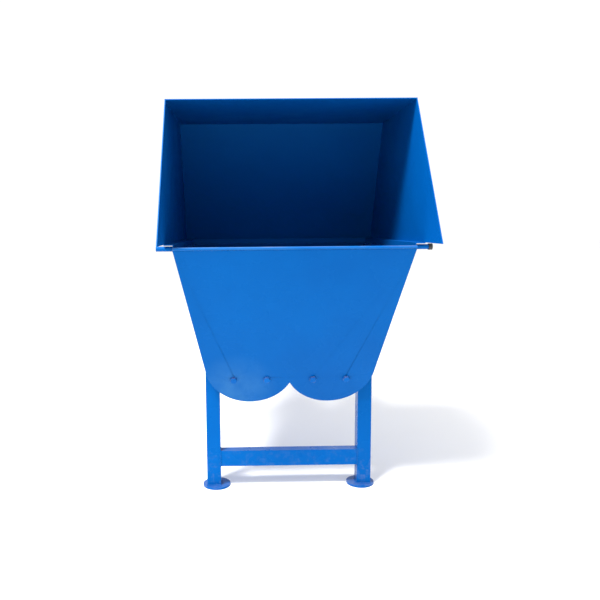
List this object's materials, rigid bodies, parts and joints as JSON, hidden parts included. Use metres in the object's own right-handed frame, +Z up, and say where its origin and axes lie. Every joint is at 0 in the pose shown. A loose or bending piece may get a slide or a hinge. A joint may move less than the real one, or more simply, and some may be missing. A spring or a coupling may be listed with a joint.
{
  "type": "twin-screw grain auger",
  "caption": "Inclined twin-screw grain auger: hooded intake hopper with a double-lobed end plate, two closed screw tubes, belt and gear drive, downward discharge spout.",
  "frame": {"origin": "on the floor, at the middle of the machine's length and width", "axes": "+Z up; +Y from the intake hopper towards the discharge head; the open hood faces -Y; +X to the right seen from the intake"},
  "size_m": [0.866, 2.336, 1.6142],
  "materials": {
    "blue_paint": "gloss enamel over welded mild steel",
    "painted_bolts": "bolt heads painted over with the sheet",
    "zinc_steel": "zinc plated",
    "bearing_iron": "painted grey iron casting",
    "bearing_steel": "ground",
    "worn_steel": "bare steel polished by grain",
    "turned_steel": "turned",
    "gear_steel": "oiled cut steel",
    "pulley_iron": "machined grey iron",
    "belt_rubber": "matte fabric-backed belt",
    "cap_rubber": "push-on end cap",
    "motor_paint": "grey enamel on ribbed aluminium",
    "box_plastic": "moulded"
  },
  "bodies": {
    "frame": {"discharge_spout": "blue_paint", "drive_belt": "belt_rubber", "drive_guard": "blue_paint", "drive_plate": "blue_paint", "front_bearing_bolts": "painted_bolts", "front_bearing_housing_left": "bearing_iron", "front_bearing_housing_right": "bearing_iron", "front_bearing_nuts": "zinc_steel", "front_crossbar": "blue_paint", "front_foot_left": "blue_paint", "front_foot_right": "blue_paint", "front_leg_left": "blue_paint", "front_leg_right": "blue_paint", "front_plate": "blue_paint", "front_rim_bar": "blue_paint", "head_casing": "blue_paint", "head_cover": "blue_paint", "head_cover_screws": "zinc_steel", "head_front_plate": "blue_paint", "hood_back": "blue_paint", "hood_roof": "blue_paint", "hood_side_left": "blue_paint", "hood_side_right": "blue_paint", "hopper_rear_plate": "blue_paint", "hopper_side_left": "blue_paint", "hopper_side_right": "blue_paint", "motor_body": "motor_paint", "motor_fan_cover": "motor_paint", "rear_beam": "blue_paint", "rear_bearing_bolts": "zinc_steel", "rear_bearing_housing_left": "bearing_iron", "rear_bearing_housing_right": "bearing_iron", "rear_crossbar": "blue_paint", "rear_foot_left": "blue_paint", "rear_foot_right": "blue_paint", "rear_leg_left": "blue_paint", "rear_leg_right": "blue_paint", "rim_collar": "blue_paint", "rim_pin_cap": "cap_rubber", "rim_pins": "blue_paint", "screw_tube_left": "blue_paint", "screw_tube_right": "blue_paint", "spout_flange": "blue_paint", "terminal_box": "box_plastic", "trough_left": "blue_paint", "trough_right": "blue_paint", "tube_saddle": "blue_paint"},
    "screw_left": {"screw_core_left": "worn_steel", "screw_flight_left": "worn_steel", "screw_stubs_left": "turned_steel", "bearing_inserts_left": "bearing_steel", "screw_gear_left": "gear_steel"},
    "screw_right": {"screw_core_right": "worn_steel", "screw_flight_right": "worn_steel", "screw_stubs_right": "turned_steel", "bearing_inserts_right": "bearing_steel", "screw_gear_right": "gear_steel", "screw_pulley": "pulley_iron"},
    "motor_rotor": {"motor_shaft": "turned_steel", "motor_pulley": "pulley_iron"}
  },
  "joints": [
    {"name": "screw_right_spin", "type": "hinge", "parent": "frame", "child": "screw_right", "pos_m": [0.14, 0.02626, 0.79614], "axis": [0, 0.9063, 0.4226], "continuous": true},
    {"name": "screw_left_spin", "type": "hinge", "parent": "frame", "child": "screw_left", "pos_m": [-0.14, 0.02626, 0.79614], "axis": [0, 0.9063, 0.4226], "continuous": true},
    {"name": "motor_spin", "type": "hinge", "parent": "frame", "child": "motor_rotor", "pos_m": [0.14, 0.85752, 1.44857], "axis": [0, 0.9063, 0.4226], "continuous": true}
  ],
  "couplings": [
    {"joint": "screw_left_spin", "follows": "screw_right_spin", "ratio": -1},
    {"joint": "motor_spin", "follows": "screw_right_spin", "ratio": 2.5}
  ]
}
